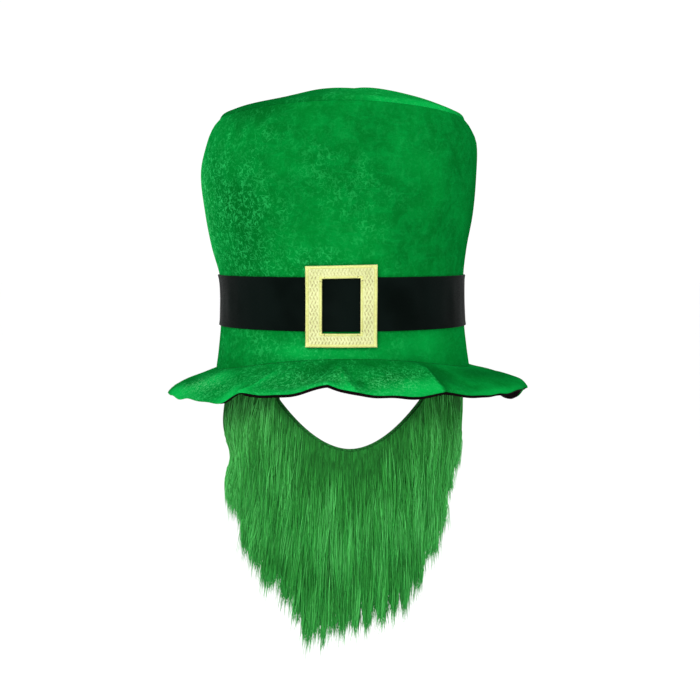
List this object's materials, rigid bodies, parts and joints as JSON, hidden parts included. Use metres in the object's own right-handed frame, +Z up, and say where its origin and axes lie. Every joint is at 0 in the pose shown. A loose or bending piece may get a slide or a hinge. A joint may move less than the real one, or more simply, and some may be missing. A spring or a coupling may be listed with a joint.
{
  "type": "leprechaun hat with a beard",
  "caption": "Plush green top hat with a drooping wavy brim, a black satin band with a pale gold frame buckle, and a long false fur beard that hangs from inside the rim.",
  "frame": {"origin": "middle of the head opening, level with the rim at its two sides", "axes": "+Z up along the crown, -Y to the front where the buckle is, +X to the wearer's left"},
  "size_m": [0.2888, 0.2804, 0.4201],
  "materials": {
    "plush": "green plush velour on a black foam back",
    "dark_cloth": "black woven cloth",
    "satin": "black satin",
    "gold_thread": "pale gold embroidery thread over padding",
    "knit_back": "green knitted back of false fur",
    "pile": "long green false fur"
  },
  "bodies": {
    "root": {"crown": "plush", "crown_tip": "plush", "brim": "plush", "brim_lining": "dark_cloth", "hat_band": "satin", "buckle": "gold_thread", "beard_backing": "knit_back", "beard_fur": "pile"}
  },
  "joints": []
}
